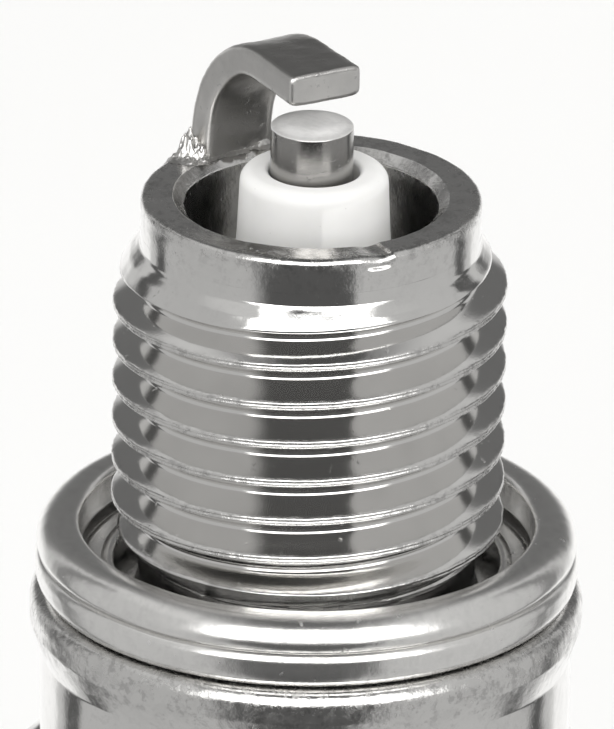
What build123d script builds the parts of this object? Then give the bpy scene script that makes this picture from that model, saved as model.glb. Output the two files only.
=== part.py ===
from build123d import *
import math
import os

# A 12 mm motorcycle spark plug: 12.7 mm reach, 18 mm hexagon, resistor type, with a removable
# terminal nut and a captive folded gasket.  Millimetres.  The origin is the centre of the shell's
# gasket seat; +Z runs along the plug towards the firing end, and the ground electrode's foot is on -X.

# ---- driving dimensions ---------------------------------------------------------------------------
# thread
THREAD_RADIUS = 5.93          # crest of the M12 x 1.25 thread
THREAD_PITCH = 1.25
THREAD_DEPTH = 0.77
ROOT_FLAT = 0.20
THREAD_LOW = 1.55             # where the runout leaves the relief neck
THREAD_HIGH = 11.15           # where the lead-in chamfer leaves the plain nose
LEAD_IN = 1.05                # axial length of the lead-in chamfer
NECK_MIDDLE = 0.5             # height in the relief neck where the two halves of the shell meet
ROOT_HEIGHT = 0.318           # height of a groove's middle at angle 0, to whole pitches
# shell
REACH = 12.7
NOSE_RADIUS = 5.13
BORE_RADIUS = 3.80
LEDGE_RADIUS = 3.25           # inner ledge that carries the insulator's step
WAIST_BORE = 4.00
CHAMBER_BORE = 6.05           # bore round the insulator's collar and the talc
FLANGE_RADIUS = 8.37
BARREL_RADIUS = 8.03
HEX_FLATS = 18.0
HEX_TOP = -5.9
HEX_BOTTOM = -12.9
HEX_BEVEL = math.radians(30)
RIM_RADIUS = 7.55             # crimped rim behind the hexagon
RIM_END = -16.8
LIP_FACE = -15.90             # inner face of the crimped lip
# insulator
NOSE_TIP = 13.55
NOSE_TIP_RADIUS = 2.20
BODY_RADIUS = 5.30            # plain glazed barrel that the plug cap's seal grips
HELD_RADIUS = 5.05            # unglazed length held inside the crimped rim
COLLAR_RADIUS = 5.98
RIB_RADIUS = 5.10
RIB_GROOVE = 4.55             # radius at the bottom of the grooves between the ribs
RIB_GROOVE_ROUND = 1.15
RIB_COUNT = 5
RIB_PITCH = 2.5
RIBS_START = -28.6
INSULATOR_END = -44.0
ELECTRODE_BORE = 1.28
STUD_BORE = 2.06
# electrodes
TIP_HEIGHT = 15.0
TIP_RADIUS = 1.25
CORE_RADIUS = 0.75
SPARK_GAP = 1.0
STRAP_WIDTH = 2.4
STRAP_THICKNESS = 1.0
STRAP_FOOT = 4.60             # radius of the strap's middle where it stands on the shell
STRAP_BEND = 3.0              # bend radius of the strap's middle line
STRAP_END = 0.81              # how far the strap reaches past the axis
# terminal
STUD_RADIUS = 2.0
STUD_PITCH = 0.7
STUD_DEPTH = 0.40
STUD_END = -51.2
NUT_RADIUS = 3.15
NUT_WAIST = 2.55
NUT_BORE = 2.05
NUT_TOP = -44.1
NUT_END = -53.0
# seals behind the centre electrode
SEAL_TOP = 0.60
RESISTOR_TOP = -3.6
RESISTOR_END = -11.6
UPPER_SEAL_END = -15.6
STUD_TOP = -13.2
# packing between shell and insulator
WIRE_RADIUS = 0.42
WIRE_RING = 5.60
FRONT_WIRE = -12.62
REAR_WIRE = LIP_FACE + WIRE_RADIUS
# gasket
SHEET = 0.30
GASKET_OUTER = 8.20
GASKET_INNER = 6.00

TAN30 = math.tan(math.radians(30))


def helical_groove(radius, pitch, depth, root_flat, low, high):
    """A 60 degree groove tool that winds from low to high round the Z axis, starting at angle 0."""
    clear = 0.03
    half_root = root_flat / 2
    half_mouth = half_root + (depth + clear) * TAN30
    with BuildPart() as groove:
        with BuildLine() as path:
            Helix(pitch=pitch, height=high - low, radius=radius, center=(0, 0, low))
        with BuildSketch(Plane(origin=path.line @ 0, x_dir=(1, 0, 0), z_dir=path.line % 0)):
            with BuildLine():
                Polyline(
                    (-depth, -half_root),
                    (clear, -half_mouth),
                    (clear, half_mouth),
                    (-depth, half_root),
                    close=True,
                )
            make_face()
        sweep(path=path.line, is_frenet=True)
    return groove.part


# ---- shell ----------------------------------------------------------------------------------------
shell_groove = helical_groove(
    THREAD_RADIUS,
    THREAD_PITCH,
    THREAD_DEPTH,
    ROOT_FLAT,
    ROOT_HEIGHT + THREAD_PITCH / 2,
    ROOT_HEIGHT + THREAD_PITCH * 9,
)

with BuildPart() as threaded_nose:
    # plain nose, lead-in, thread and relief neck
    with BuildSketch(Plane.XZ):
        with BuildLine():
            Polyline(
                (WAIST_BORE, NECK_MIDDLE),
                (NOSE_RADIUS, NECK_MIDDLE),
                (NOSE_RADIUS, THREAD_LOW),
                (THREAD_RADIUS, THREAD_LOW + 0.75),
                (THREAD_RADIUS, THREAD_HIGH - LEAD_IN),
                (NOSE_RADIUS + 0.29, THREAD_HIGH - 0.07),
                (NOSE_RADIUS, THREAD_HIGH),
                (NOSE_RADIUS, REACH),
                (BORE_RADIUS + 0.35, REACH),
                (BORE_RADIUS, REACH - 0.30),
                (BORE_RADIUS, 4.4),
                (LEDGE_RADIUS, 4.0),
                (LEDGE_RADIUS, 3.35),
                (WAIST_BORE, 2.60),
                close=True,
            )
        make_face()
    revolve(axis=Axis.Z)
    rings = threaded_nose.edges().filter_by(GeomType.CIRCLE)
    fillet(
        [e for e in rings if abs(e.radius - NOSE_RADIUS) < 1e-3 and abs(e.center().Z - REACH) < 1e-3],
        radius=0.35,
    )
    add(shell_groove, mode=Mode.SUBTRACT)

with BuildPart() as shell:
    # everything turned below the neck: flange, barrel, buckle groove, crimped rim
    with BuildSketch(Plane.XZ):
        with BuildLine():
            Polyline(
                (WAIST_BORE, NECK_MIDDLE),
                (NOSE_RADIUS, NECK_MIDDLE),
                (NOSE_RADIUS, 0),
                (FLANGE_RADIUS, 0),
                (FLANGE_RADIUS, -0.95),
                (BARREL_RADIUS, -2.0),
                (BARREL_RADIUS, HEX_BOTTOM - 0.1),
                (7.0, HEX_BOTTOM - 0.5),
                (7.0, HEX_BOTTOM - 1.3),
                (RIM_RADIUS, HEX_BOTTOM - 1.7),
                (RIM_RADIUS, RIM_END),
                (5.45, RIM_END),
                (5.30, LIP_FACE),
                (CHAMBER_BORE, LIP_FACE),
                (CHAMBER_BORE, -7.02),
                (WAIST_BORE, -5.85),
                close=True,
            )
        make_face()
    revolve(axis=Axis.Z)
    rings = shell.edges().filter_by(GeomType.CIRCLE)
    fillet(
        [e for e in rings if abs(e.radius - FLANGE_RADIUS) < 1e-3 and abs(e.center().Z) < 1e-3],
        radius=0.45,
    )
    rings = shell.edges().filter_by(GeomType.CIRCLE)
    fillet(
        [e for e in rings if abs(e.radius - RIM_RADIUS) < 1e-3 and abs(e.center().Z - RIM_END) < 1e-3],
        radius=0.85,
    )
    # hexagon, with its corners bevelled at both ends
    with BuildSketch(Plane.XY.offset(HEX_BOTTOM)):
        RegularPolygon(HEX_FLATS / 2, 6, major_radius=False)
        Circle(BARREL_RADIUS - 0.5, mode=Mode.SUBTRACT)
    extrude(amount=HEX_TOP - HEX_BOTTOM)
    with BuildSketch(Plane.XZ):
        with BuildLine():
            bevel = (11.5 - 8.6) * math.tan(HEX_BEVEL)
            Polyline(
                (8.6, HEX_TOP + 1),
                (8.6, HEX_TOP),
                (11.5, HEX_TOP - bevel),
                (11.5, HEX_TOP + 1),
                close=True,
            )
            Polyline(
                (8.6, HEX_BOTTOM - 1),
                (8.6, HEX_BOTTOM),
                (11.5, HEX_BOTTOM + bevel),
                (11.5, HEX_BOTTOM - 1),
                close=True,
            )
        make_face()
    revolve(axis=Axis.Z, mode=Mode.SUBTRACT)
    # the groove's start is turned to the far side from angle 0, where it leaves the neck in the open
    add(threaded_nose.part, rotation=(0, 0, 180))
shell.part.label = "shell"

# ---- ground electrode -----------------------------------------------------------------------------
strap_top = TIP_HEIGHT + SPARK_GAP + STRAP_THICKNESS
with BuildPart() as ground_electrode:
    outer = STRAP_FOOT + STRAP_THICKNESS / 2
    inner = STRAP_FOOT - STRAP_THICKNESS / 2
    outer_bend = STRAP_BEND + STRAP_THICKNESS / 2
    inner_bend = STRAP_BEND - STRAP_THICKNESS / 2
    underside = strap_top - STRAP_THICKNESS
    with BuildSketch(Plane.XZ) as strap_side:
        with BuildLine():
            up = Line((-outer, REACH), (-outer, strap_top - outer_bend))
            over = RadiusArc(up @ 1, (-outer + outer_bend, strap_top), outer_bend)
            along = Line(over @ 1, (STRAP_END, strap_top))
            down = Line(along @ 1, (STRAP_END, underside))
            back = Line(down @ 1, (-outer + outer_bend, underside))
            under = RadiusArc(back @ 1, (-inner, strap_top - outer_bend), -inner_bend)
            foot = Line(under @ 1, (-inner, REACH))
            Line(foot @ 1, up @ 0)
        make_face()
    extrude(amount=STRAP_WIDTH / 2, both=True)
    # the welded foot spreads a little onto the shell's end face
    with BuildSketch(Plane.XY.offset(REACH)):
        with Locations((-STRAP_FOOT + 0.02, 0)):
            Rectangle(STRAP_THICKNESS + 0.16, STRAP_WIDTH + 0.5)
    with BuildSketch(Plane.XY.offset(REACH + 0.4)):
        with Locations((-STRAP_FOOT, 0)):
            Rectangle(STRAP_THICKNESS, STRAP_WIDTH)
    loft()
ground_electrode.part.label = "ground_electrode"

# ---- captive folded gasket ------------------------------------------------------------------------
with BuildPart() as gasket:
    half = SHEET / 2
    lower = GASKET_OUTER - half
    upper = lower - 0.02
    with BuildSketch(Plane.XZ):
        with BuildLine():
            FilletPolyline(
                (GASKET_INNER, 0.70),
                (6.72, 0.70),
                (6.98, 0.03 + half),
                (lower, 0.03 + half),
                (lower, 1.05),
                (7.30, 1.05),
                (7.30, 1.45),
                (upper, 1.45),
                (upper, 2.08),
                (7.10, 2.08),
                (6.98, 1.20),
                radius=(0.25, 0.25, 0.40, 0.40, 0.19, 0.19, 0.25, 0.36, 0.30),
            )
        trace(line_width=SHEET)
    revolve(axis=Axis.Z)
    # four staked tabs keep it on the neck behind the thread
    with BuildSketch(Plane.XY.offset(0.70 - half)):
        with PolarLocations(GASKET_INNER, 4, start_angle=14):
            Rectangle(0.80, 1.10)
    extrude(amount=SHEET * 0.8)
gasket.part.label = "gasket"

# ---- insulator ------------------------------------------------------------------------------------
with BuildPart() as insulator:
    with BuildSketch(Plane.XZ):
        with BuildLine():
            Polyline(
                (ELECTRODE_BORE, NOSE_TIP),
                (NOSE_TIP_RADIUS, NOSE_TIP),
                (3.05, 3.45),
                (3.94, 2.45),
                (3.94, -5.90),
                (COLLAR_RADIUS, -7.08),
                (COLLAR_RADIUS, -11.70),
                (HELD_RADIUS, -12.40),
                (HELD_RADIUS, RIM_END - 0.1),
                (BODY_RADIUS, RIM_END - 0.1),
                (BODY_RADIUS, RIBS_START),
                (RIB_RADIUS, RIBS_START),
                (RIB_RADIUS, -42.6),
                (4.2, INSULATOR_END),
                (STUD_BORE, INSULATOR_END),
                (STUD_BORE, 1.90),
                (ELECTRODE_BORE, 2.45),
                close=True,
            )
        make_face()
    revolve(axis=Axis.Z)
    # flashover ribs
    with BuildSketch(Plane.XZ):
        for rib in range(RIB_COUNT):
            with Locations((RIB_GROOVE + RIB_GROOVE_ROUND, RIBS_START - rib * RIB_PITCH)):
                Circle(RIB_GROOVE_ROUND)
    revolve(axis=Axis.Z, mode=Mode.SUBTRACT)
    rings = insulator.edges().filter_by(GeomType.CIRCLE)
    fillet(
        [e for e in rings if abs(e.center().Z - NOSE_TIP) < 1e-3 and e.radius > 2],
        radius=0.60,
    )
    rings = insulator.edges().filter_by(GeomType.CIRCLE)
    fillet(
        [e for e in rings if abs(e.center().Z - INSULATOR_END) < 1e-3 and e.radius > 3],
        radius=0.50,
    )
insulator.part.label = "insulator"

# ---- centre electrode: nickel alloy sheath, with a copper core pressed in from behind ----------------
with BuildPart() as centre_electrode:
    with BuildSketch(Plane.XZ):
        with BuildLine():
            Polyline(
                (0, TIP_HEIGHT),
                (TIP_RADIUS, TIP_HEIGHT),
                (TIP_RADIUS, 2.35),
                (1.88, 1.78),
                (1.88, 0.75),
                (1.30, SEAL_TOP),
                (1.30, -0.60),
                (CORE_RADIUS, -0.60),
                (CORE_RADIUS, 12.2),
                (0, 12.7),
                close=True,
            )
        make_face()
    revolve(axis=Axis.Z)
    rings = centre_electrode.edges().filter_by(GeomType.CIRCLE)
    chamfer([e for e in rings if abs(e.center().Z - TIP_HEIGHT) < 1e-3], length=0.05)
centre_electrode.part.label = "centre_electrode"

with BuildPart() as copper_core:
    with BuildSketch(Plane.XZ):
        with BuildLine():
            Polyline((0, 12.7), (CORE_RADIUS, 12.2), (CORE_RADIUS, -0.60), (0, -0.60), close=True)
        make_face()
    revolve(axis=Axis.Z)
copper_core.part.label = "copper_core"

# ---- conductive glass seals and resistor ------------------------------------------------------------
fill_radius = STUD_BORE - 0.01
with BuildPart() as front_glass_seal:
    with BuildSketch(Plane.XZ):
        with BuildLine():
            Polyline(
                (1.30, SEAL_TOP),
                (1.88, 0.75),
                (fill_radius, 0.75),
                (fill_radius, RESISTOR_TOP),
                (0, RESISTOR_TOP),
                (0, -0.60),
                (1.30, -0.60),
                close=True,
            )
        make_face()
    revolve(axis=Axis.Z)
front_glass_seal.part.label = "front_glass_seal"

with BuildPart() as resistor:
    with BuildSketch(Plane.XY.offset(RESISTOR_END)):
        Circle(fill_radius)
    extrude(amount=RESISTOR_TOP - RESISTOR_END)
resistor.part.label = "resistor"

# ---- terminal stud: grooved root held in the rear seal, plain shank, M4 thread outside ---------------
stud_groove = helical_groove(
    STUD_RADIUS,
    STUD_PITCH,
    STUD_DEPTH,
    0.10,
    STUD_END - STUD_PITCH,
    INSULATOR_END - 0.9,
)
with BuildPart() as terminal_stud:
    with BuildSketch(Plane.XZ):
        with BuildLine():
            Polyline(
                (0, STUD_TOP),
                (1.45, STUD_TOP),
                (1.75, STUD_TOP - 0.35),
                (1.75, UPPER_SEAL_END),
                (1.90, UPPER_SEAL_END - 0.2),
                (1.90, INSULATOR_END - 0.2),
                (1.60, INSULATOR_END - 0.5),
                (1.60, INSULATOR_END - 0.9),
                (STUD_RADIUS, INSULATOR_END - 1.3),
                (STUD_RADIUS, STUD_END + 0.45),
                (1.60, STUD_END),
                (0, STUD_END),
                close=True,
            )
        make_face()
    revolve(axis=Axis.Z)
    # keying grooves that the glass flows into
    with BuildSketch(Plane.XZ):
        for ring in range(3):
            with Locations((1.75, STUD_TOP - 0.75 - ring * 0.55)):
                Rectangle(0.30, 0.25)
    revolve(axis=Axis.Z, mode=Mode.SUBTRACT)
    add(stud_groove, mode=Mode.SUBTRACT)
terminal_stud.part.label = "terminal_stud"

with BuildPart() as rear_glass_seal:
    with BuildSketch(Plane.XZ):
        with BuildLine():
            Polyline(
                (0, RESISTOR_END),
                (fill_radius, RESISTOR_END),
                (fill_radius, UPPER_SEAL_END),
                (1.75, UPPER_SEAL_END),
                (1.75, STUD_TOP - 0.35),
                (1.45, STUD_TOP),
                (0, STUD_TOP),
                close=True,
            )
        make_face()
        for ring in range(3):
            with Locations((1.75, STUD_TOP - 0.75 - ring * 0.55)):
                Rectangle(0.30, 0.25)
    revolve(axis=Axis.Z)
rear_glass_seal.part.label = "rear_glass_seal"

# ---- removable terminal nut -------------------------------------------------------------------------
with BuildPart() as terminal_nut:
    with BuildSketch(Plane.XZ):
        with BuildLine():
            Polyline(
                (NUT_BORE, NUT_TOP),
                (NUT_RADIUS, NUT_TOP),
                (NUT_RADIUS, NUT_TOP - 2.6),
                (NUT_WAIST, NUT_TOP - 3.5),
                (NUT_WAIST, NUT_TOP - 5.0),
                (NUT_RADIUS, NUT_TOP - 5.9),
                (NUT_RADIUS, NUT_END + 0.9),
                (2.3, NUT_END),
                (0, NUT_END),
                (0, STUD_END - 0.3),
                (NUT_BORE, STUD_END - 0.3),
                close=True,
            )
        make_face()
    revolve(axis=Axis.Z)
terminal_nut.part.label = "terminal_nut"

# ---- packing between insulator and shell ------------------------------------------------------------
with BuildPart() as packing_washer:
    # soft steel washer squeezed between the shell's ledge and the insulator's step
    with BuildSketch(Plane.XZ):
        with BuildLine():
            Polyline((3.31, 3.27), (3.31, 3.16), (3.90, 2.505), (3.90, 2.68), close=True)
        make_face()
    revolve(axis=Axis.Z)
packing_washer.part.label = "packing_washer"

with BuildPart() as front_packing_ring:
    with Locations((0, 0, FRONT_WIRE)):
        Torus(WIRE_RING, WIRE_RADIUS)
front_packing_ring.part.label = "front_packing_ring"

with BuildPart() as talc_packing:
    talc_top = FRONT_WIRE - WIRE_RADIUS
    talc_end = REAR_WIRE + WIRE_RADIUS
    with BuildSketch(Plane.XY.offset(talc_end)):
        Circle(CHAMBER_BORE - 0.01)
        Circle(HELD_RADIUS + 0.01, mode=Mode.SUBTRACT)
    extrude(amount=talc_top - talc_end)
talc_packing.part.label = "talc_packing"

with BuildPart() as rear_packing_ring:
    with Locations((0, 0, REAR_WIRE)):
        Torus(WIRE_RING, WIRE_RADIUS)
rear_packing_ring.part.label = "rear_packing_ring"

# ---- write one STEP for each piece ------------------------------------------------------------------
os.makedirs("parts", exist_ok=True)
pieces = (
    shell,
    ground_electrode,
    gasket,
    insulator,
    centre_electrode,
    copper_core,
    front_glass_seal,
    resistor,
    rear_glass_seal,
    terminal_stud,
    terminal_nut,
    packing_washer,
    front_packing_ring,
    talc_packing,
    rear_packing_ring,
)
for piece in pieces:
    export_step(piece.part, f"parts/{piece.part.label}.step")
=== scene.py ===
"""Looks of a 12 mm spark plug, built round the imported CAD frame.  Lengths below are in millimetres."""

import math

import bmesh
import bpy
import numpy as np
from mathutils import Matrix, Vector, noise


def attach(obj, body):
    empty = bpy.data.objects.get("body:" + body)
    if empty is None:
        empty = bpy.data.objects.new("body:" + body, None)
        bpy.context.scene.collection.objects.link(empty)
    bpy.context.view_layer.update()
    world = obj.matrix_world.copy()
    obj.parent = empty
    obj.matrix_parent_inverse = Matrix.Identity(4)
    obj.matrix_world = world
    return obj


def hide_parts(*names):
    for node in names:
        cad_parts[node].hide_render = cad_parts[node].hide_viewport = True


MM = 0.001
PITCH = 1.25
CREST = 5.93              # radius of the thread over its crests
NOSE = 5.13               # radius of the plain nose above the thread
ROOT_PHASE = 0.318        # height of a thread groove's middle at angle 0
CAMERA_AZIMUTH = 61.0     # where the camera stands round the plug, in degrees
CAMERA_PITCH = 22.97

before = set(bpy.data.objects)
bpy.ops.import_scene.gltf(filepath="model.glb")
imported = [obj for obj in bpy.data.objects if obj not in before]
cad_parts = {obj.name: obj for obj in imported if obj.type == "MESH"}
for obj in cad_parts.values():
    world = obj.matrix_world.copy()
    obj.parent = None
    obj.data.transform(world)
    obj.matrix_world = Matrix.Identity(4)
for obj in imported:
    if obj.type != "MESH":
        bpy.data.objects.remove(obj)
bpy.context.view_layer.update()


# ---- node helpers ---------------------------------------------------------------------------------
class Nodes:
    """Short ways to write a shader node tree."""

    def __init__(self, tree):
        self.tree = tree
        tree.nodes.clear()

    def add(self, kind, **settings):
        node = self.tree.nodes.new(kind)
        for key, value in settings.items():
            setattr(node, key, value)
        return node

    def put(self, socket, value):
        if isinstance(value, bpy.types.NodeSocket):
            self.tree.links.new(value, socket)
        else:
            socket.default_value = value

    def math(self, operation, a, b=0.0, clamp=False):
        node = self.add("ShaderNodeMath", operation=operation, use_clamp=clamp)
        self.put(node.inputs[0], a)
        self.put(node.inputs[1], b)
        return node.outputs[0]

    def dot(self, a, b):
        node = self.add("ShaderNodeVectorMath", operation="DOT_PRODUCT")
        self.put(node.inputs[0], a)
        self.put(node.inputs[1], b)
        return node.outputs["Value"]

    def step(self, value, low, high, out_low=0.0, out_high=1.0):
        node = self.add("ShaderNodeMapRange", interpolation_type="SMOOTHSTEP")
        self.put(node.inputs["Value"], value)
        node.inputs["From Min"].default_value = low
        node.inputs["From Max"].default_value = high
        node.inputs["To Min"].default_value = out_low
        node.inputs["To Max"].default_value = out_high
        return node.outputs[0]

    def mix(self, factor, a, b, kind="RGBA"):
        node = self.add("ShaderNodeMix", data_type=kind)
        first, second = (6, 7) if kind == "RGBA" else (2, 3)
        self.put(node.inputs[0], factor)
        self.put(node.inputs[first], a)
        self.put(node.inputs[second], b)
        return node.outputs[2 if kind == "RGBA" else 0]

    def noise(self, per_mm, detail=3.0, stretch=(1, 1, 1), rough=0.55, distort=0.0):
        place = self.add("ShaderNodeTexCoord").outputs["Object"]
        mapping = self.add("ShaderNodeMapping")
        mapping.inputs["Scale"].default_value = [1000 * per_mm * s for s in stretch]
        self.put(mapping.inputs["Vector"], place)
        node = self.add("ShaderNodeTexNoise")
        node.inputs["Scale"].default_value = 1.0
        node.inputs["Detail"].default_value = detail
        node.inputs["Roughness"].default_value = rough
        node.inputs["Distortion"].default_value = distort
        self.put(node.inputs["Vector"], mapping.outputs[0])
        return node.outputs[0]

    def around(self, per_turn, per_mm, detail=2.0):
        """Noise that is stretched round the plug's axis, as turning and rolling marks are."""
        place = self.add("ShaderNodeTexCoord").outputs["Object"]
        split = self.add("ShaderNodeSeparateXYZ")
        self.put(split.inputs[0], place)
        x, y, z = split.outputs
        radius = self.math("SQRT", self.math("ADD", self.math("MULTIPLY", x, x), self.math("MULTIPLY", y, y)))
        safe = self.math("MAXIMUM", radius, 1e-5)
        join = self.add("ShaderNodeCombineXYZ")
        self.put(join.inputs[0], self.math("MULTIPLY", self.math("DIVIDE", x, safe), per_turn))
        self.put(join.inputs[1], self.math("MULTIPLY", self.math("DIVIDE", y, safe), per_turn))
        self.put(join.inputs[2], self.math("MULTIPLY", self.math("ADD", z, radius), 1000 * per_mm))
        node = self.add("ShaderNodeTexNoise")
        node.inputs["Scale"].default_value = 1.0
        node.inputs["Detail"].default_value = detail
        self.put(node.inputs["Vector"], join.outputs[0])
        return node.outputs[0]

    def attribute(self, name):
        return self.add("ShaderNodeAttribute", attribute_name=name).outputs["Fac"]

    def bump(self, height, distance_mm, strength=1.0, after=None):
        node = self.add("ShaderNodeBump")
        self.put(node.inputs["Strength"], strength)
        node.inputs["Distance"].default_value = distance_mm * MM
        self.put(node.inputs["Height"], height)
        if after is not None:
            self.put(node.inputs["Normal"], after)
        return node.outputs[0]

    def surface(self, **inputs):
        shader = self.add("ShaderNodeBsdfPrincipled")
        output = self.add("ShaderNodeOutputMaterial")
        for key, value in inputs.items():
            self.put(shader.inputs[key.replace("_", " ")], value)
        self.put(output.inputs["Surface"], shader.outputs[0])
        return shader


def material(name):
    result = bpy.data.materials.new(name)
    result.use_nodes = True
    return result, Nodes(result.node_tree)


# ---- materials --------------------------------------------------------------------------------------
def plated_steel(name, light=0.80, smooth=0.10, rough=0.30, grain_mm=0.018, stains=0.45):
    """Bright plating: clean where smooth, pitted and grey where the wear attribute is high."""
    tint = (1.0, 0.992, 0.975)
    result, n = material(name)
    wear = n.attribute("wear")
    cloud = n.noise(0.55, 4.0)
    fine = n.noise(7.0, 4.0, rough=0.65)
    turned = n.around(3.0, 16.0, 3.0)
    specks = n.step(n.noise(3.2, 2.0), 0.70, 0.76)
    blotch = n.step(n.noise(2.2, 5.0, rough=0.7, distort=0.6), 0.44, 0.60)
    worn = n.math("MULTIPLY", wear, n.step(blotch, 0.1, 0.9, 0.45, 1.0), clamp=True)
    clean_rough = n.math("ADD", smooth - 0.03, n.math("MULTIPLY", cloud, 0.06))
    roughness = n.mix(worn, clean_rough, rough, "FLOAT")
    roughness = n.math("ADD", roughness, n.math("MULTIPLY", specks, 0.12))
    bright = [light * t for t in tint]
    dull = [light * 0.80 * t for t in tint]
    colour = n.mix(n.math("MULTIPLY", worn, 0.6), (*bright, 1), (*dull, 1))
    colour = n.mix(n.step(cloud, 0.35, 0.75, 0.0, 0.25), colour, (*dull, 1))
    stain = n.math("MULTIPLY", wear, n.step(n.noise(2.4, 6.0, rough=0.75), 0.50, 0.60))
    colour = n.mix(n.math("MULTIPLY", stain, stains), colour, [light * 0.35 * t for t in tint] + [1])
    low = n.bump(turned, 0.0016, 0.6)
    middle = n.bump(fine, grain_mm, n.math("ADD", 0.05, n.math("MULTIPLY", worn, 0.95)), low)
    last = n.bump(specks, 0.006, 0.5, middle)
    n.surface(Base_Color=colour, Metallic=1.0, Roughness=roughness, Normal=last)
    return result


def satin_nickel(name, light, dark, rough=0.30, grain_mm=0.012):
    """Drawn alloy with a fine grain; a point attribute darkens it, partly a darker tone of the metal and
    partly painted shade under the side electrode.
    """
    result, n = material(name)
    wear = n.attribute("wear")
    soot = n.attribute("soot")
    fine = n.noise(8.0, 4.0, rough=0.7)
    cloud = n.noise(0.9, 4.0)
    pits = n.step(n.noise(4.5, 3.0, rough=0.6), 0.62, 0.70)
    clear = (light, light * 0.985, light * 0.96, 1)
    hazy = (light * 0.86, light * 0.85, light * 0.83, 1)
    base = n.mix(n.step(cloud, 0.3, 0.7), clear, hazy)
    # darker where the point attribute is high: a darker tone of the metal, and painted shade on the side
    # electrode's underside
    colour = n.mix(soot, base, (dark, dark * 0.98, dark * 0.95, 1))
    colour = n.mix(n.math("MULTIPLY", pits, 0.35), colour, (dark, dark, dark, 1))
    roughness = n.math("ADD", rough, n.math("MULTIPLY", n.step(cloud, 0.3, 0.7), 0.08))
    height = n.bump(fine, grain_mm, n.math("ADD", 0.25, n.math("MULTIPLY", wear, 0.75)))
    n.surface(Base_Color=colour, Metallic=1.0, Roughness=roughness, Normal=n.bump(pits, 0.01, 0.5, height))
    return result


def bare_alumina(name, rough=0.55, coat=0.0):
    """White ceramic; a coat makes it glazed."""
    result, n = material(name)
    cloud = n.noise(0.5, 3.0)
    grain = n.noise(14.0, 3.0, rough=0.7)
    speck = n.step(n.noise(9.0, 1.0), 0.80, 0.82, 0.0, 0.6)
    colour = n.mix(n.step(cloud, 0.3, 0.7), (0.87, 0.868, 0.855, 1), (0.83, 0.828, 0.815, 1))
    colour = n.mix(speck, colour, (0.45, 0.44, 0.43, 1))
    normal = n.bump(grain, 0.003, 0.5 if coat == 0 else 0.12)
    shader = n.surface(Base_Color=colour, Roughness=rough, Normal=normal)
    shader.inputs["IOR"].default_value = 1.6
    shader.inputs["Subsurface Weight"].default_value = 0.15
    shader.inputs["Subsurface Radius"].default_value = (0.0006, 0.0006, 0.0005)
    shader.inputs["Coat Weight"].default_value = coat
    shader.inputs["Coat Roughness"].default_value = 0.04
    return result


def painted_reflection_face(name):
    """The electrode's end: pale in the middle as a painted reflection of the shiny metal end, grey and
    mottled towards its rim.
    """
    result, n = material(name)
    edge = n.attribute("wear")
    mottle = n.step(n.noise(1.3, 5.0, rough=0.65), 0.40, 0.62)
    grey = n.math("ADD", n.math("MULTIPLY", edge, 0.45), n.math("MULTIPLY", mottle, 0.12), clamp=True)
    # white non-metal base stands in for the shine of the metal end: painted reflection, greyer towards the
    # rim
    colour = n.mix(grey, (0.98, 0.975, 0.965, 1), (0.24, 0.235, 0.23, 1))
    grain = n.noise(6.0, 4.0, rough=0.7)
    n.surface(Base_Color=colour, Metallic=0.0, Roughness=0.35, Normal=n.bump(grain, 0.012, 0.8))
    return result


steel = plated_steel("plated_steel")
gasket_steel = plated_steel("gasket_steel", light=0.92, smooth=0.22, rough=0.27, grain_mm=0.013, stains=0.15)
nut_steel = plated_steel("nut_steel", light=0.82, smooth=0.12, rough=0.30)
strap_metal = satin_nickel("strap_metal", 0.72, 0.30)
tip_metal = satin_nickel("tip_metal", 0.60, 0.34, rough=0.15, grain_mm=0.003)
tip_face = painted_reflection_face("tip_face")
ceramic = bare_alumina("bare_alumina")
glaze = bare_alumina("glazed_alumina", rough=0.16, coat=0.8)


# ---- mesh helpers -----------------------------------------------------------------------------------
def finish(name, verts, faces, mat, body, slot, smooth=True, **attributes):
    """Make an object of a body from points in millimetres, with point attributes for its material."""
    mesh = bpy.data.meshes.new(name)
    mesh.from_pydata((np.asarray(verts, float) * MM).tolist(), [], faces)
    mesh.validate()
    mesh.update()
    for key, values in attributes.items():
        layer = mesh.attributes.new(key, "FLOAT", "POINT")
        layer.data.foreach_set("value", np.asarray(values, np.float32))
    mesh.materials.append(mat)
    mesh.shade_smooth() if smooth else mesh.shade_flat()
    piece = bpy.data.objects.new(name, mesh)
    bpy.context.scene.collection.objects.link(piece)
    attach(piece, body)
    return piece


def rounded(points, steps=5):
    """Profile points (r, z, corner radius[, wear]) with each corner turned into an arc."""
    out = []
    count = len(points)
    for i, point in enumerate(points):
        r, z, corner = point[:3]
        wear = point[3] if len(point) > 3 else 0.0
        if corner <= 0 or i in (0, count - 1):
            out.append((r, z, wear))
            continue
        here = np.array([r, z])
        back = np.array(points[i - 1][:2]) - here
        ahead = np.array(points[i + 1][:2]) - here
        lb, la = np.linalg.norm(back), np.linalg.norm(ahead)
        back, ahead = back / lb, ahead / la
        half = math.acos(max(-1, min(1, float(back @ ahead)))) / 2
        run = min(corner / math.tan(half), 0.48 * lb, 0.48 * la)
        radius = run * math.tan(half)
        middle = back + ahead
        middle /= np.linalg.norm(middle)
        centre = here + middle * radius / math.sin(half)
        start, end = here + back * run, here + ahead * run
        a0 = math.atan2(*(start - centre)[::-1])
        a1 = math.atan2(*(end - centre)[::-1])
        turn = (a1 - a0 + math.pi) % (2 * math.pi) - math.pi
        out.append((*(start + back * run * 0.25), wear))
        for k in range(steps + 1):
            a = a0 + turn * k / steps
            out.append((centre[0] + radius * math.cos(a), centre[1] + radius * math.sin(a), wear))
        out.append((*(end + ahead * run * 0.25), wear))
    return out


def denser(profile, step):
    """The same profile with extra points, so that no run is longer than step."""
    out = [profile[0]]
    for a, b in zip(profile, profile[1:]):
        n = max(1, math.ceil(math.dist(a[:2], b[:2]) / step))
        out += [tuple(a[k] + (b[k] - a[k]) * i / n for k in range(3)) for i in range(1, n + 1)]
    return out


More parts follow.
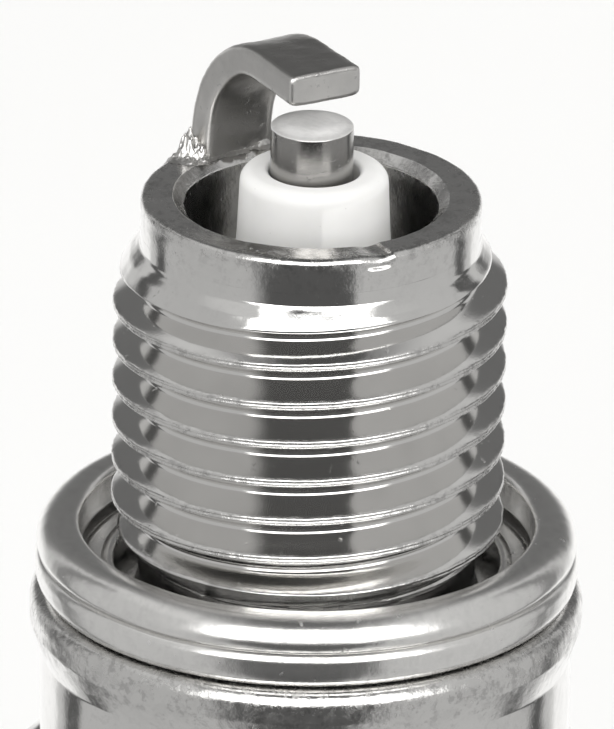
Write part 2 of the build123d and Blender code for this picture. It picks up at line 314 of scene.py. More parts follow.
def turned(profile, segments=360, closed=False, dent=None):
    """Points, faces and wear of a profile of (r, z, wear) turned round Z."""
    angle = np.arange(segments) * 2 * math.pi / segments
    prof = np.array([p[:3] for p in profile])
    r = np.repeat(prof[:, :1], segments, 1)
    z = np.repeat(prof[:, 1:2], segments, 1)
    wear = np.repeat(prof[:, 2:3], segments, 1)
    if dent is not None:
        dr, dz = dent(np.repeat(angle[None], len(prof), 0), z, wear)
        r, z = r + dr, z + dz
    verts = np.stack([r * np.cos(angle), r * np.sin(angle), z], -1).reshape(-1, 3)
    faces = []
    rows = len(prof)
    for i in range(rows if closed else rows - 1):
        j = (i + 1) % rows
        for k in range(segments):
            m = (k + 1) % segments
            faces.append((i * segments + k, i * segments + m, j * segments + m, j * segments + k))
    return verts, faces, wear.reshape(-1)


def joined(*groups):
    """Several (points, faces, wear) groups as one."""
    verts, faces, wear, base = [], [], [], 0
    for v, f, w in groups:
        verts.append(np.asarray(v))
        faces += [tuple(i + base for i in face) for face in f]
        wear.append(np.asarray(w))
        base += len(v)
    return np.concatenate(verts), faces, np.concatenate(wear)


def wobble(angle, z, size, per_turn, per_mm, seed):
    """Smooth repeatable noise on the turned surface."""
    flat = [
        noise.noise(Vector((math.cos(a) * per_turn, math.sin(a) * per_turn, h * per_mm + seed)))
        for a, h in zip(angle.ravel(), z.ravel())
    ]
    return size * np.array(flat).reshape(angle.shape)


# ---- shell ------------------------------------------------------------------------------------------
CREST_SHAPE = [
    (0.000, 5.900, 1.0), (0.022, 5.912, 1.0), (0.045, 5.930, 0.9), (0.072, 5.926, 0.9),
    (0.096, 5.905, 0.7), (0.120, 5.870, 0.4), (0.150, 5.822, 0.12), (0.200, 5.738, 0.0),
    (0.260, 5.635, 0.0), (0.320, 5.530, 0.0), (0.380, 5.425, 0.0), (0.430, 5.340, 0.0),
    (0.470, 5.275, 0.0), (0.505, 5.225, 0.0), (0.540, 5.185, 0.0), (0.580, 5.162, 0.0),
    (0.625, 5.155, 0.0),
]


def thread_section():
    """(height above the crest as a share of a pitch from 0 to 1, radius, wear), crest to crest."""
    half = [(h / PITCH, r, w) for h, r, w in CREST_SHAPE]
    return half + [(1 - t, r, w) for t, r, w in reversed(half[:-1])][:-1]


def threaded():
    """The rolled thread as one helical strip, faded into the plain nose above and the neck below."""
    section = np.array(thread_section())
    per_turn, across = 240, len(section)
    crest = ROOT_PHASE + PITCH / 2
    low, high = 0.30, 11.62
    turns = math.ceil((high - low) / PITCH) + 3
    steps = turns * per_turn
    start = crest - 2 * PITCH
    k = np.arange(steps + 1)
    angle = k * 2 * math.pi / per_turn
    z = start + PITCH * k[:, None] / per_turn + PITCH * section[None, :, 0]
    r = np.repeat(section[None, :, 1], steps + 1, 0)
    wear = np.repeat(section[None, :, 2], steps + 1, 0)
    ang = np.repeat(angle[:, None], across, 1)
    rough = wobble(ang, z, 0.030, 26.0, 3.5, 3.0) + wobble(ang, z, 0.016, 70.0, 8.0, 9.0)
    r = r + rough * np.clip(wear, 0, 1) ** 1.5 * 0.8
    groove_middle = start + PITCH * k[:, None] / per_turn + PITCH / 2
    depth = np.clip((11.10 - groove_middle) / 0.45, 0, 1)
    r = CREST - (CREST - r) * depth
    cone = np.interp(z, [0, 1.35, 2.45, 9.75, 10.05, 10.86, 11.16, 11.21, 20],
                     [5.10, 5.10, 6.2, 6.2, 5.91, 5.44, 5.17, NOSE, NOSE])
    cone = cone + wobble(ang, z, 0.018, 9.0, 1.6, 21.0) * ((z > 9.3) & (z < 11.1))
    chamfer = (r > cone) & (z > 9.4)
    wear = np.where(chamfer, np.clip(0.9 - (z - 10.25) / 0.30, 0.10, 0.9), wear)
    r = np.minimum(r, cone)
    floor = np.where(z < 3, 5.10, np.where(z > 10.9, NOSE, 0))
    r = np.maximum(r, floor)
    wear = np.where(z < 2.2, 0.5, wear)
    z = np.clip(z, low, high)
    r = np.where(z >= high, NOSE, r)
    r = np.where(z <= low, 5.10, r)
    verts = np.stack([r * np.cos(ang), r * np.sin(ang), z], -1).reshape(-1, 3)
    ids = np.arange((steps + 1) * across).reshape(steps + 1, across)
    faces = []
    for i in range(steps):
        for j in range(across):
            if j < across - 1:
                quad = (ids[i, j], ids[i + 1, j], ids[i + 1, j + 1], ids[i, j + 1])
                heights = (z[i, j], z[i + 1, j], z[i + 1, j + 1], z[i, j + 1])
            elif i + per_turn + 1 <= steps:
                quad = (ids[i, j], ids[i + 1, j], ids[i + 1 + per_turn, 0], ids[i + per_turn, 0])
                heights = (z[i, j], z[i + 1, j], z[i + 1 + per_turn, 0], z[i + per_turn, 0])
            else:
                continue
            if min(heights) >= high or max(heights) <= low:
                continue
            faces.append(tuple(int(q) for q in quad))
    return verts, faces, wear.reshape(-1)


def nose_dent(angle, z, wear):
    dr = wobble(angle, z, 0.010, 5.0, 1.0, 40.0) * (np.abs(z) < 12.6)
    dz = np.where(z > 12.3, wobble(angle, z, 0.022, 7.0, 0.6, 50.0) * np.clip(wear + 0.35, 0, 1), 0)
    nick = np.exp(-(((angle - math.radians(354.5)) / 0.085) ** 2)) * (z > 12.35) * (wear > 0.3)
    return dr - 0.05 * nick, dz - 0.09 * nick


def collar_dent(angle, z, wear):
    dr = wobble(angle, z, 0.012, 6.0, 1.1, 60.0) + wobble(angle, z, 0.010, 30.0, 5.0, 66.0) * wear
    return dr * (z > -5.7), np.zeros_like(z)


def build_shell():
    """The shell's turned surfaces in one piece, and the hexagon in another."""
    nose = rounded([
        (NOSE, 11.62, 0, 0.20),
        (NOSE, 12.05, 0, 0.30),
        (NOSE - 0.01, 12.30, 0, 0.35),
        (NOSE, 12.70, 0.36, 0.95),
        (4.45, 12.70, 0, 0.55),
        (4.16, 12.71, 0.05, 0.75),
        (3.82, 12.42, 0.08, 0.9),
        (3.80, 12.10, 0, 0.35),
        (3.80, 4.40, 0, 0.35),
        (3.25, 4.00, 0, 0.2),
        (3.25, 3.35, 0, 0.2),
    ], 7)
    collar = rounded([
        (5.10, 0.30, 0, 0.4),
        (5.10, 0.00, 0.12, 0.5),
        (8.37, 0.00, 0.55, 0.9),
        (8.37, -0.95, 0.35, 0.75),
        (8.05, -1.95, 0.40, 0.2),
        (8.03, -5.80, 0, 0.10),
        (8.03, -6.30, 0, 0.10),
    ], 7)
    tail = rounded([
        (8.04, -12.70, 0, 0.1),
        (7.90, -13.15, 0.15, 0.2),
        (7.05, -13.40, 0.25, 0.2),
        (7.05, -14.20, 0.25, 0.2),
        (7.55, -14.60, 0.20, 0.2),
        (7.55, -16.80, 0.85, 0.1),
        (5.50, -16.80, 0.30, 0.1),
        (5.34, -15.90, 0, 0.1),
    ], 7)
    groups = [
        turned(denser(nose, 0.12), 480, dent=nose_dent),
        threaded(),
        turned(denser(collar, 0.15), 480, dent=collar_dent),
        turned(denser(tail, 0.3), 256),
    ]
    verts, faces, wear = joined(*groups)
    shell = finish("shell_turned", verts, faces, steel, "plug", "plated_steel", wear=wear)
    clean(shell)
    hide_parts("shell")
    hexagon = build_hexagon()
    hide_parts("shell")


def clean(piece):
    """Weld equal points, drop loose ones and turn every face outward."""
    mesh = bmesh.new()
    mesh.from_mesh(piece.data)
    bmesh.ops.remove_doubles(mesh, verts=mesh.verts, dist=1e-7)
    bmesh.ops.dissolve_degenerate(mesh, edges=mesh.edges, dist=1e-7)
    loose = [v for v in mesh.verts if not v.link_faces]
    bmesh.ops.delete(mesh, geom=loose, context="VERTS")
    bmesh.ops.recalc_face_normals(mesh, faces=mesh.faces)
    mesh.to_mesh(piece.data)
    mesh.free()


def build_hexagon():
    """The wrench hexagon, an 18 mm prism whose corners are cut by a cone at each end."""
    segments = 360
    flat = 9.0
    apex = math.radians(30)
    rows = []
    angle = np.radians(np.arange(segments) * 360.0 / segments)
    side = flat / np.cos(sector_of(angle))
    top, bottom, inner = -6.15, -12.90, 8.04
    drop = (side - 8.6) * math.tan(apex)
    rounding = 0.10
    rows.append((np.full(segments, inner), np.full(segments, top + 0.02)))
    rows.append((np.full(segments, 8.45), np.full(segments, top)))
    rows.append((np.full(segments, 8.6), np.full(segments, top - 0.015)))
    for t in (0.35, 0.7, 0.93):
        rows.append((8.6 + (side - 8.6) * t, top - drop * t - 0.01))
    rows.append((side - 0.03, top - drop - 0.03))
    rows.append((side, top - drop - rounding))
    for t in (0.3, 0.5, 0.7):
        rows.append((side, (top - drop) * (1 - t) + (bottom + drop) * t))
    rows.append((side, bottom + drop + rounding))
    rows.append((side - 0.03, bottom + drop + 0.03))
    for t in (0.93, 0.7, 0.35):
        rows.append((8.6 + (side - 8.6) * t, bottom + drop * t + 0.01))
    rows.append((np.full(segments, 8.6), np.full(segments, bottom + 0.015)))
    rows.append((np.full(segments, 8.45), np.full(segments, bottom)))
    rows.append((np.full(segments, inner), np.full(segments, bottom - 0.02)))
    r = np.array([row[0] for row in rows])
    z = np.array([row[1] for row in rows])
    verts = np.stack([r * np.cos(angle), r * np.sin(angle), z], -1).reshape(-1, 3)
    faces = []
    for i in range(len(rows) - 1):
        for k in range(segments):
            m = (k + 1) % segments
            faces.append((i * segments + k, i * segments + m, (i + 1) * segments + m, (i + 1) * segments + k))
    near = np.exp(-(((np.abs(sector_of(angle)) - math.pi / 6) / 0.05) ** 2))
    wear = np.clip(np.repeat(near[None], len(rows), 0) * 0.6 + 0.12, 0, 1).reshape(-1)
    piece = finish("shell_hexagon", verts, faces, steel, "plug", "plated_steel", wear=wear)
    clean(piece)
    piece.data.set_sharp_from_angle(angle=math.radians(24))
    return piece


def sector_of(angle):
    """Angle from the middle of the nearest flat of the hexagon."""
    return (angle + math.pi / 2 + math.pi / 6) % (math.pi / 3) - math.pi / 6


# ---- gasket -----------------------------------------------------------------------------------------
def build_gasket():
    """One folded sheet: inner flange with a rounded lip, lower lobe, seam, upper lobe with a rolled rim."""
    half = 0.15
    lower, upper = 8.05, 8.03
    path = rounded([
        (5.98, 0.78, 0),
        (6.20, 0.66, 0.2),
        (6.74, 0.72, 0.25),
        (6.98, 0.18, 0.25),
        (lower, 0.18, 0.42),
        (lower + 0.01, 1.08, 0.16),
        (7.22, 1.08, 0.17),
        (7.22, 1.43, 0.17),
        (upper + 0.01, 1.41, 0),
    ], 8)
    for a in np.linspace(4, 90, 16):
        across, up = math.cos(math.radians(a)), math.sin(math.radians(a))
        path.append((upper - 0.68 + 0.68 * across, 1.44 + 0.63 * up, 0.0))
    path += rounded([(7.25, 2.07, 0), (7.02, 2.05, 0.16), (6.96, 1.20, 0)], 6)
    line = np.array([(p[0], p[1]) for p in denser(path, 0.12)])
    tangent = np.gradient(line, axis=0)
    tangent /= np.linalg.norm(tangent, axis=1)[:, None]
    normal = np.stack([tangent[:, 1], -tangent[:, 0]], 1)
    one, other = line + normal * half, line - normal * half
    half_turn = [(math.cos(a), math.sin(a)) for a in np.linspace(0, math.pi, 7)[1:-1]]
    cap_end = [line[-1] + half * (c * normal[-1] + d * tangent[-1]) for c, d in half_turn]
    cap_start = [line[0] - half * (c * normal[0] + d * tangent[0]) for c, d in half_turn]
    ring = np.concatenate([one, cap_end, other[::-1], cap_start])
    outside = np.where(ring[:, 0] > 7.7, 0.35, 0.55)
    profile = [(r, z, w) for (r, z), w in zip(ring, outside)]

    def dent(angle, z, wear):
        dr = wobble(angle, z, 0.014, 3.0, 0.8, 80.0) + wobble(angle, z, 0.006, 22.0, 3.0, 84.0)
        dz = wobble(angle, z * 0, 0.030, 2.2, 1.0, 90.0)
        return dr, dz * (z > 0.4)

    verts, faces, wear = turned(profile, 480, closed=True, dent=dent)
    body = finish("gasket_folded", verts, faces, gasket_steel, "gasket_ring", "gasket_steel", wear=wear)
    clean(body)
    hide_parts("gasket")
    for number in range(4):
        tab = build_tab(number)
        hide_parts("gasket")


def build_tab(number):
    """A small staked tongue that reaches in over the neck."""
    angle = math.radians(14 + 90 * number)
    c, s = math.cos(angle), math.sin(angle)
    width, length, rows, cols = 0.95, 0.75, 9, 11
    verts, faces = [], []
    for side in (1, -1):
        for i in range(rows):
            for j in range(cols):
                u, v = i / (rows - 1), j / (cols - 1) * 2 - 1
                r = 6.28 - length * u
                w = v * width / 2 * (1 - 0.35 * u ** 2)
                edge = 1 - max(u ** 6, abs(v) ** 8)
                z = 0.64 - 0.10 * math.sin(u * 2.4) + side * (0.03 + 0.09 * edge)
                z += 0.02 * noise.noise(Vector((u * 3 + number * 5, v * 3, 1)))
                verts.append((r * c - w * s, r * s + w * c, z))
    layer = rows * cols
    for i in range(rows - 1):
        for j in range(cols - 1):
            quad = (i * cols + j, (i + 1) * cols + j, (i + 1) * cols + j + 1, i * cols + j + 1)
            faces.append(quad)
            faces.append(tuple(q + layer for q in reversed(quad)))
    border = [(i, 0) for i in range(rows)] + [(rows - 1, j) for j in range(1, cols)]
    border += [(i, cols - 1) for i in range(rows - 2, -1, -1)] + [(0, j) for j in range(cols - 2, 0, -1)]
    ring = [i * cols + j for i, j in border]
    for a, b in zip(ring, ring[1:] + ring[:1]):
        faces.append((a, a + layer, b + layer, b))
    piece = finish(f"gasket_tab_{number}", verts, faces, gasket_steel, "gasket_ring", "gasket_steel",
                   wear=np.full(len(verts), 0.7))
    clean(piece)
    return piece


# ---- side electrode ---------------------------------------------------------------------------------
def strap_line():
    """Middle line of the strap as (x, z) from its foot to its tip, in the plane of the plug's axis."""
    top, thick, bend, foot = 17.0, 1.0, 3.0, 4.60
    points = [(-foot, 12.55), (-foot, 13.0)]
    centre = (-foot + bend, top - thick / 2 - bend)
    for a in np.linspace(180, 90, 40):
        across, up = math.cos(math.radians(a)), math.sin(math.radians(a))
        points.append((centre[0] + bend * across, centre[1] + bend * up))
    for x in np.linspace(centre[0], 0.81, 24)[1:]:
        points.append((x, top - thick / 2))
    return np.array(points)


def strap_section(turn, s, half_w, half_t):
    """Sideways and outward place on the strap's rounded outline, with its fine dents."""
    power = 7.0
    c, d = math.cos(turn), math.sin(turn)
    scale = (abs(c) ** power + abs(d) ** power) ** (-1 / power)
    w, h = half_w * c * scale, half_t * d * scale
    w = max(-half_w, min(half_w, w))
    bump = 0.022 * noise.noise(Vector((s * 1.6, w * 1.6, h * 2 + 4)))
    bump += 0.010 * noise.noise(Vector((s * 6, w * 6, h * 6)))
    return w, h + bump * (1 if h > 0 else 0.6)


def build_strap():
    """The side electrode, a bar swept along its line: twisted at the foot, hollowed along the bend."""
    line = strap_line()
    distance = np.concatenate([[0], np.cumsum(np.linalg.norm(np.diff(line, axis=0), axis=1))])
    length = distance[-1]
    extra = [length - s for s in (0.10, 0.06, 0.03, 0.012)]
    samples = np.unique(np.concatenate([np.linspace(0, length, 110), extra]))
    px = np.interp(samples, distance, line[:, 0])
    pz = np.interp(samples, distance, line[:, 1])
    tx, tz = np.gradient(px, samples), np.gradient(pz, samples)
    size = np.hypot(tx, tz)
    tx, tz = tx / size, tz / size
    around = 72
    verts, soot, wear = [], [], []
    for s, x, z, ax, az in zip(samples, px, pz, tx, tz):
        t = s / length
        left = length - s
        end = 1.0 if left > 0.12 else math.sqrt(max(0.0, 1 - ((0.12 - left) / 0.12) ** 2))
        shrink = 0.11 * (1 - end)
        post = max(0.0, 1 - t / 0.45)
        half_w = 1.20 - 0.05 * math.sin(math.pi * t) - shrink
        half_t = 0.50 + 0.05 * post - shrink
        shift = 0.30 * post
        twist = math.radians(7.0) * post
        outx, outz = -az, ax
        for k in range(around):
            w, h = strap_section(2 * math.pi * k / around, s, half_w, half_t)
            h += -0.05 * (1 - (w / half_w) ** 2) * (h > 0) * math.exp(-((t - 0.55) / 0.25) ** 2)
            lx, ly = h * outx, w
            cx = lx * math.cos(twist) - ly * math.sin(twist) * post
            cy = lx * math.sin(twist) + ly * math.cos(twist)
            verts.append((x + cx, cy - shift, z + h * outz))
            # underside and inner face darkened, partly heat oxidation and partly painted shade; the top of
            # the arm is darkened less
            inside = h < 0 and abs(w) < half_w * 0.93
            upper = h > 0 and abs(w) < half_w * 0.95 and t > 0.45
            soot.append(0.85 if inside else (0.55 if upper else 0.0))
            wear.append(0.35 + 0.6 * (abs(w) > half_w * 0.9) * (abs(h) > half_t * 0.8))
    faces = []
    for i in range(len(samples) - 1):
        for k in range(around):
            m = (k + 1) % around
            faces.append((i * around + k, i * around + m, (i + 1) * around + m, (i + 1) * around + k))
    last = (len(samples) - 1) * around
    verts, soot, wear = close_end(verts, faces, soot, wear, last, around)
    piece = finish("side_electrode", verts, faces, strap_metal, "plug", "nickel_alloy", soot=soot, wear=wear)
    clean(piece)
    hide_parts("ground_electrode")
    flash = build_flash()
    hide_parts("ground_electrode")


def close_end(verts, faces, soot, wear, base, around):
    """Fill the strap's end face with rings that shrink to its middle."""
    verts = list(verts)
    rim = np.array(verts[base:base + around])
    middle = rim.mean(0)
    previous = base
    for share in (0.92, 0.7, 0.4, 0.12):
        start = len(verts)
        for k in range(around):
            point = middle + (rim[k] - middle) * share
            point = point + np.array([0.012 * noise.noise(Vector(point * 2.2)), 0, 0])
            verts.append(tuple(point))
            soot.append(0.0)
            wear.append(0.35)
        for k in range(around):
            m = (k + 1) % around
            faces.append((previous + k, previous + m, start + m, start + k))
        previous = start
    faces.append(tuple(previous + k for k in range(around)))
    return verts, soot, wear


def build_flash():
    """The rough splash of weld metal squeezed out round the strap's foot, most of it on one side."""
    rows, cols = 110, 150
    xs, ys = np.linspace(-5.75, -3.55, rows), np.linspace(-2.6, 1.9, cols)
    verts, tall = [], []
    for x in xs:
        for y in ys:
            gap_x, gap_y = max(0.0, abs(x + 4.62) - 0.50), max(0.0, abs(y + 0.28) - 1.16)
            gap = math.hypot(gap_x, gap_y * 0.8)
            share = 1.0 if y < 0.2 else max(0.40, 1.0 - 0.5 * (y - 0.2))
            inner = max(0.22, 1.0 - 1.8 * max(0.0, x + 4.45)) if y > -1.5 else 1.0
            high = 0.46 * share * inner * math.exp(-((gap / 0.34) ** 2))
            high += 0.34 * math.exp(-(((x + 4.50) / 0.55) ** 2) - (((y + 1.90) / 0.48) ** 2))
            lump = noise.noise(Vector((x * 2.6, y * 2.6, 4.0)))
            grit = noise.noise(Vector((x * 7.5, y * 7.5, 8.0)))
            fine = noise.noise(Vector((x * 19, y * 19, 2.0)))
            high *= max(0.0, 0.85 + 0.75 * lump + 0.50 * grit + 0.22 * fine)
            over = max(0.0, math.hypot(x, y) - 4.86)
            drop = 0.9 * over ** 1.6
            verts.append((x, y, 12.66 + high - drop))
            tall.append(high)
    faces = []
    for i in range(rows - 1):
        for j in range(cols - 1):
            quad = (i * cols + j, (i + 1) * cols + j, (i + 1) * cols + j + 1, i * cols + j + 1)
            far = max(math.hypot(verts[q][0], verts[q][1]) for q in quad)
            if max(tall[q] for q in quad) > 0.045 and far < 5.30:
                faces.append(quad)
    piece = finish("weld_flash", verts, faces, strap_metal, "plug", "nickel_alloy",
                   soot=np.full(len(verts), 0.10), wear=np.full(len(verts), 1.0))
    clean(piece)
    return piece


# ---- centre electrode and insulator -----------------------------------------------------------------
def build_tip():
    """The centre electrode's end, a plain cylinder with a slightly uneven face."""
    profile = rounded([
        (0.001, 15.02, 0, 0.0),
        (0.45, 15.018, 0, 0.0),
        (0.75, 15.01, 0, 0.05),
        (1.00, 14.995, 0, 0.5),
        (1.12, 14.985, 0, 0.9),
        (1.25, 14.97, 0.06, 1.0),
        (1.25, 12.9, 0, 0.1),
        (1.25, 9.5, 0, 0.1),
    ], 6)

    def dent(angle, z, wear):
        flat = z > 14.9
        return wobble(angle, z, 0.006, 3.0, 0.7, 18.0) * ~flat, np.zeros_like(z)

    verts, faces, wear = turned(denser(profile, 0.05), 192, dent=dent)
    for vert in verts:
        if vert[2] > 14.9:
            place = Vector(vert)
            rim = min(1.0, (1.25 - math.hypot(vert[0], vert[1])) / 0.25)
            vert[2] += rim * (0.035 * noise.noise(place * 1.3) + 0.012 * noise.noise(place * 5.0))
    bright = (verts[:, 2] > 14.93).astype(float)
    piece = finish("centre_electrode_tip", verts, faces, tip_metal, "plug", "electrode_alloy",
                   wear=wear, soot=1 - bright)
    clean(piece)
    # the end face gets the matte white material, a painted reflection of the shiny metal end
    piece.data.materials.append(tip_face)
    for face in piece.data.polygons:
        if face.center.z > 14.93 * MM and face.normal.z > 0.5:
            face.material_index = 1
    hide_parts("centre_electrode")


def build_insulator():
    """The bare nose and the glazed barrel with its ribs."""
    nose = rounded([
        (1.29, 9.0, 0),
        (1.36, 13.2, 0),
        (1.38, 13.56, 0.16),
        (2.22, 13.58, 0.66),
        (2.31, 11.5, 0),
        (3.02, 3.9, 0.2),
    ], 9)
    body = rounded([
        (5.06, -14.9, 0),
        (5.06, -16.9, 0),
        (5.30, -16.9, 0.1),
        (5.30, -27.45, 0.2),
    ], 5)
    ribs = []
    for rib in range(5):
        middle = -28.6 - rib * 2.5
        for a in np.radians(np.linspace(52, -52, 15)):
            ribs.append((5.70 - 1.15 * math.cos(a), middle + 1.05 * math.sin(a), 0.0))
        if rib < 4:
            for a in np.radians(np.linspace(75, -75, 9)):
                ribs.append((4.97 + 0.14 * math.cos(a), middle - 1.25 + 0.20 * math.sin(a), 0.0))
    end = rounded([
        (5.10, -39.75, 0),
        (5.10, -42.55, 0.5),
        (4.2, -44.0, 0.35),
        (2.05, -44.0, 0.1),
        (2.05, -43.2, 0),
    ], 7)
    front = turned(denser(nose, 0.15), 256)
    rear = turned(denser(body, 0.8)[:-1] + ribs + denser(end, 0.5), 256)
    front[0][:, :2] += np.array([0.485, 0.875]) * 0.08     # the nose stands a little off the axis
    a = finish("insulator_nose", *front[:2], ceramic, "plug", "alumina")
    b = finish("insulator_barrel", *rear[:2], glaze, "plug", "alumina")
    for piece in (a, b):
        clean(piece)
        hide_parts("insulator")


# ---- terminal ---------------------------------------------------------------------------------------
def build_nut():
    """The solid terminal with its waist, screwed on the stud."""
    profile = rounded([
        (2.06, -49.0, 0),
        (2.06, -44.10, 0.12, 0.4),
        (3.15, -44.10, 0.18, 0.5),
        (3.15, -46.70, 0.25, 0.2),
        (2.55, -47.60, 0.5, 0.1),
        (2.55, -49.10, 0.5, 0.1),
        (3.15, -50.00, 0.35, 0.3),
        (3.15, -52.10, 0.45, 0.3),
        (2.30, -53.00, 0.25, 0.4),
        (0.30, -53.00, 0, 0.3),
        (0.001, -53.00, 0, 0.3),
    ], 8)
    verts, faces, wear = turned(denser(profile, 0.2), 192)
    piece = finish("terminal_nut_turned", verts, faces, nut_steel, "nut", "nut_metal", wear=wear)
    clean(piece)
    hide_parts("terminal_nut")


def build_stud():
    """The stud's thread, seen once the nut is off."""
    pitch, per_turn = 0.7, 96
    crest_to_root = [(0.0, 1.99), (0.10, 1.98), (0.30, 1.72), (0.42, 1.60), (0.50, 1.59)]
    root_to_crest = [(1 - share, r) for share, r in reversed(crest_to_root[1:-1])]
    section = np.array(crest_to_root + root_to_crest)
    low, high = -51.15, -44.75
    turns = math.ceil((high - low) / pitch) + 3
    steps = turns * per_turn
    k = np.arange(steps + 1)
    ang = np.repeat((k * 2 * math.pi / per_turn)[:, None], len(section), 1)
    z = low - pitch * 1.5 + pitch * k[:, None] / per_turn + pitch * section[None, :, 0]
    r = np.repeat(section[None, :, 1], steps + 1, 0)
    r = np.minimum(r, np.interp(z, [-60, -51.2, -50.75, -45.3, -44.9, 0], [1.6, 1.6, 2.0, 2.0, 1.6, 1.6]))
    z = np.clip(z, low, high)
    verts = np.stack([r * np.cos(ang), r * np.sin(ang), z], -1).reshape(-1, 3)
    across = len(section)
    faces = []
    for i in range(steps):
        for j in range(across):
            last = j == across - 1
            if last and i + per_turn + 1 > steps:
                continue
            up = (i + per_turn) * across if last else i * across + j + 1
            quad = (i * across + j, (i + 1) * across + j, up + across, up)
            levels = [z[q // across, q % across] for q in quad]
            if min(levels) >= high or max(levels) <= low:
                continue
            faces.append(quad)
    shank = rounded([(1.6, high, 0), (1.6, -44.5, 0.1), (1.9, -44.2, 0.1), (1.9, -43.0, 0)], 4)
    cap = [(0.001, -51.2, 0.2), (1.35, -51.2, 0.2), (1.56, -51.19, 0.3), (1.6, low, 0.3)]
    groups = joined((verts, faces, np.full(len(verts), 0.3)), turned(denser(shank, 0.2), 96), turned(cap, 96))
    piece = finish("terminal_stud_threaded", *groups[:2], nut_steel, "plug", "stud_steel", wear=groups[2])
    clean(piece)
    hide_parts("terminal_stud")


# ---- sealed inner pieces keep their CAD shapes -------------------------------------------------------
def dress_inner_pieces():
    """Plain materials for the pieces that nothing outside shows."""
    looks = {
        "copper_core": ((0.80, 0.42, 0.26), 1.0, 0.35),
        "front_glass_seal": ((0.10, 0.10, 0.11), 0.0, 0.6),
        "resistor": ((0.05, 0.05, 0.055), 0.0, 0.7),
        "rear_glass_seal": ((0.10, 0.10, 0.11), 0.0, 0.6),
        "packing_washer": ((0.55, 0.55, 0.55), 1.0, 0.4),
        "front_packing_ring": ((0.55, 0.55, 0.55), 1.0, 0.4),
        "talc_packing": ((0.72, 0.72, 0.68), 0.0, 0.9),
        "rear_packing_ring": ((0.55, 0.55, 0.55), 1.0, 0.4),
    }
    for node, (colour, metal, rough) in looks.items():
        result, n = material("inner_" + node)
        grain = n.noise(6.0, 3.0)
        darker = tuple(c * 0.75 for c in colour)
        mixed = n.mix(n.step(grain, 0.35, 0.65), (*colour, 1), (*darker, 1))
        n.surface(Base_Color=mixed, Metallic=metal, Roughness=rough, Normal=n.bump(grain, 0.01, 0.5))
        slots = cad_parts[node].material_slots
        for slot in slots:
            slot.material = result


# ---- studio -----------------------------------------------------------------------------------------
def camera_axes():
    """Directions on the ground towards the camera and to its right."""
    a = math.radians(CAMERA_AZIMUTH)
    return Vector((math.sin(a), -math.cos(a), 0)), Vector((math.cos(a), math.sin(a), 0))


def build_world():
    """A soft studio all round: white behind, grey sides, a key in front, a dark gap overhead."""
    front, right = camera_axes()
    world = bpy.data.worlds.new("studio")
    world.use_nodes = True
    bpy.context.scene.world = world
    n = Nodes(world.node_tree)
    ray = n.add("ShaderNodeTexCoord").outputs["Generated"]
    x = n.dot(ray, tuple(right))
    y = n.dot(ray, tuple(front))
    z = n.dot(ray, (0, 0, 1))
    azimuth = n.math("MULTIPLY", n.math("ARCTAN2", x, y), 180 / math.pi)
    turn = n.math("ABSOLUTE", azimuth)
    height = n.math("MULTIPLY", n.math("ARCSINE", z), 180 / math.pi)
    # round the horizon: dark in front, grey sides, a dark slit, then light grey and white behind
    left = n.step(turn, 26, 42, 0.10, 0.52)
    right_side = n.step(turn, 29, 32, 0.10, 0.55)
    side = n.mix(n.step(azimuth, -4, 4), left, right_side, "FLOAT")
    side = n.mix(n.step(turn, 114, 118), side, 0.10, "FLOAT")
    side = n.mix(n.step(turn, 125, 130), side, 0.62, "FLOAT")
    behind = n.step(turn, 136, 141)
    low_white = n.math("MULTIPLY", n.step(height, 0, -8), n.step(height, -48, -40))
    side = n.mix(n.math("MULTIPLY", behind, low_white), side, 1.1, "FLOAT")
    side = n.mix(n.math("MULTIPLY", behind, n.step(height, -42, -50)), side, 0.34, "FLOAT")
    side = n.mix(n.math("MULTIPLY", behind, n.step(height, 1, 8)), side, 0.16, "FLOAT")
    # overhead: light panels each side of a dark strip
    strip = n.mix(n.step(x, -0.14, -0.27), 0.085, 0.30, "FLOAT")
    strip = n.mix(n.step(x, -0.28, -0.46), strip, 0.64, "FLOAT")
    strip = n.mix(n.step(x, 0.19, 0.205), strip, 0.27, "FLOAT")
    strip = n.mix(n.step(x, 0.21, 0.46), strip, 0.60, "FLOAT")
    light = n.mix(n.step(height, 40, 50), side, strip, "FLOAT")
    # key light in front, over the camera
    key = n.math("MULTIPLY", n.step(azimuth, -44, -38), n.step(azimuth, 56, 46))
    key = n.math("MULTIPLY", key, n.math("MULTIPLY", n.step(height, 4, 9), n.step(height, 64, 56)))
    light = n.mix(key, light, 3.4, "FLOAT")
    paths = n.add("ShaderNodeLightPath")
    light = n.mix(paths.outputs["Is Camera Ray"], light, 1.0, "FLOAT")
    light = n.mix(paths.outputs["Is Diffuse Ray"], light, 0.80, "FLOAT")
    background = n.add("ShaderNodeBackground")
    background.inputs["Color"].default_value = (1.0, 0.996, 0.988, 1)
    n.put(background.inputs["Strength"], light)
    output = n.add("ShaderNodeOutputWorld")
    n.put(output.inputs["Surface"], background.outputs[0])


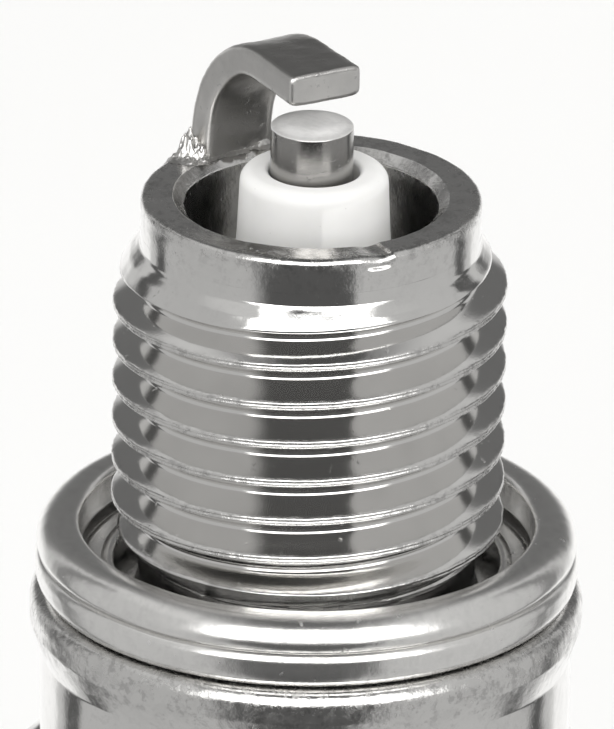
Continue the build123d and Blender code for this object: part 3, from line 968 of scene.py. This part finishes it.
def build_floor():
    """A pale floor at the height of the terminal's end, kept out of the metal's reflections."""
    mesh = bpy.data.meshes.new("floor")
    size, level = 3.0, -0.0530
    corners = [(-size, -size), (size, -size), (size, size), (-size, size)]
    mesh.from_pydata([(x, y, level) for x, y in corners], [], [(0, 1, 2, 3)])
    floor = bpy.data.objects.new("floor", mesh)
    bpy.context.scene.collection.objects.link(floor)
    result, n = material("pale_floor")
    grain = n.noise(0.02, 2.0)
    colour = n.mix(grain, (0.90, 0.90, 0.895, 1), (0.93, 0.93, 0.925, 1))
    n.surface(Base_Color=colour, Roughness=0.8, Normal=n.bump(grain, 0.01, 0.1))
    mesh.materials.append(result)
    floor.visible_glossy = False


def build_camera():
    """The camera looks down at the firing end from half a metre away, through a long lens."""
    front, right = camera_axes()
    pitch = math.radians(CAMERA_PITCH)
    distance, roll, centre = 500.0, 0.013374, 7.1905
    towards = front * math.cos(pitch) + Vector((0, 0, math.sin(pitch)))
    up = towards.cross(right)
    place = Vector((0, 0, centre)) + towards * distance
    basis = Matrix((right, up, towards)).transposed()
    turn = Matrix.Rotation(roll, 3, "Z")
    data = bpy.data.cameras.new("camera")
    data.sensor_width = 36.0
    data.sensor_fit = "AUTO"
    data.lens = 820.1037
    data.shift_x = -0.0028532
    data.clip_start = 0.01
    data.clip_end = 20.0
    camera = bpy.data.objects.new("camera", data)
    bpy.context.scene.collection.objects.link(camera)
    camera.matrix_world = Matrix.Translation(place * MM) @ (basis @ turn).to_4x4()
    bpy.context.scene.camera = camera


def build_lights():
    """One soft area lamp above gives the ceramic and the floor their shape."""
    front, right = camera_axes()
    lamp = bpy.data.lights.new("soft_top", "AREA")
    lamp.shape = "DISK"
    lamp.size = 0.35
    lamp.energy = 0.5
    light = bpy.data.objects.new("soft_top", lamp)
    bpy.context.scene.collection.objects.link(light)
    place = front * 0.22 - right * 0.10 + Vector((0, 0, 0.55))
    light.location = place
    light.rotation_euler = place.to_track_quat("Z", "Y").to_euler()
    light.visible_glossy = False


build_shell()
build_gasket()
build_strap()
build_tip()
build_insulator()
build_nut()
build_stud()
dress_inner_pieces()
bpy.context.scene.view_settings.view_transform = "Standard"
build_world()
build_lights()
build_floor()
build_camera()
